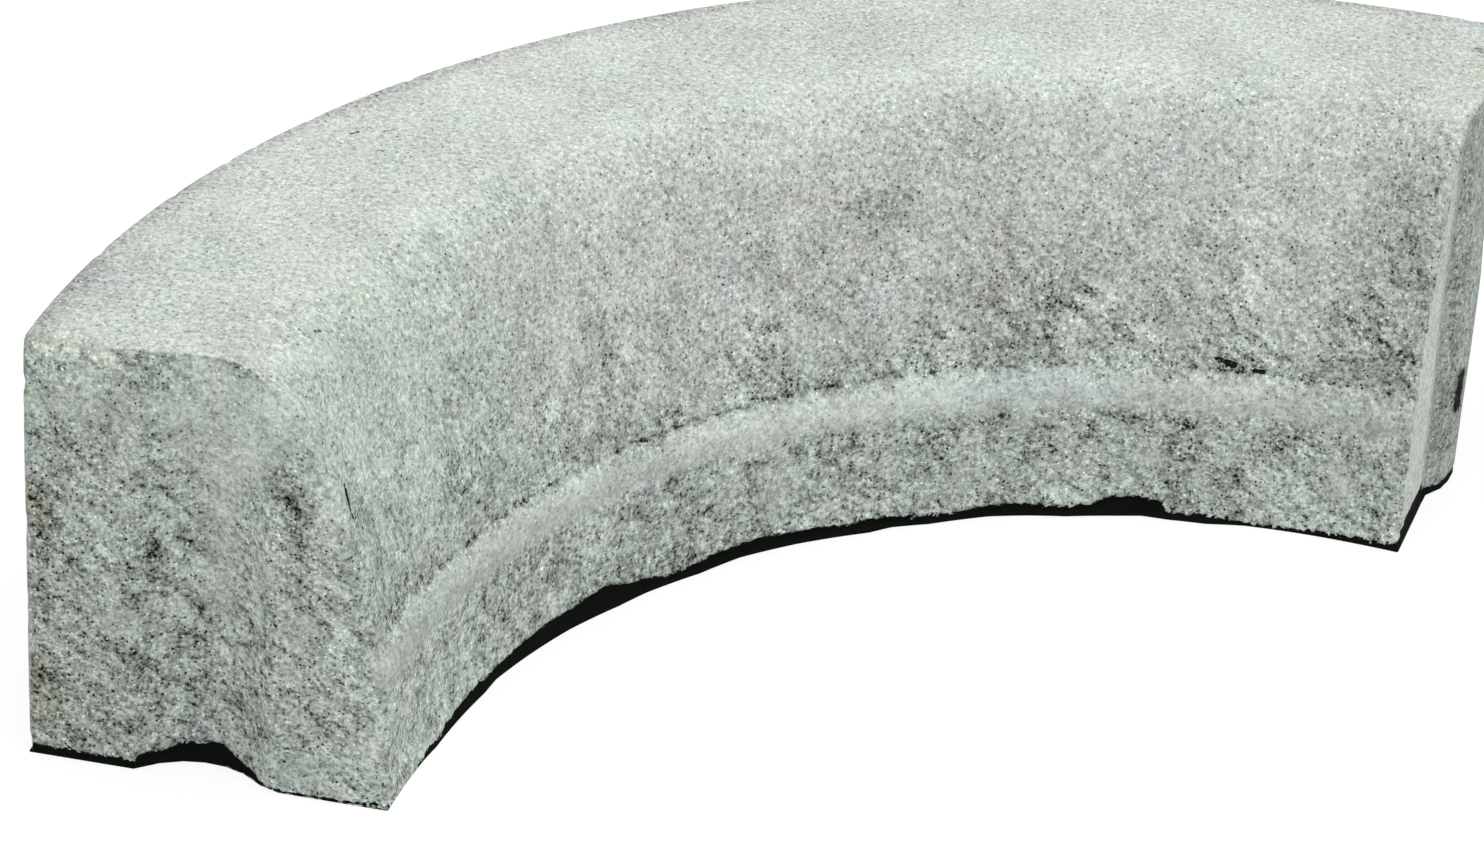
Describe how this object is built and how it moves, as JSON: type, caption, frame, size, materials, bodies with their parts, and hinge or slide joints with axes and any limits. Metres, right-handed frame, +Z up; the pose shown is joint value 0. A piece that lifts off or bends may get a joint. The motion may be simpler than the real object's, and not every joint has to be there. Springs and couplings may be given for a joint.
{
  "type": "curved concrete kerb stone",
  "caption": "Precast concrete kerb stone curved in plan, with a foot, a rounded shoulder and a leaning bullnosed face on the inside of the bend and a tongue-and-groove end joint.",
  "frame": {"origin": "middle of the bounding box in plan, at the level of the bed the stone rests on", "axes": "+Z up from the bed to the flat top. The grooved end is the face towards -Y. From it the stone runs along +Y and bends to +X, so the plain back is towards -X and +Y and the shaped face looks into the bend."},
  "size_m": [0.5614, 0.495, 0.2],
  "materials": {
    "concrete": "rough cast concrete, pale grey with a faint green tint"
  },
  "bodies": {
    "root": {"kerb_stone": "concrete"}
  },
  "joints": []
}
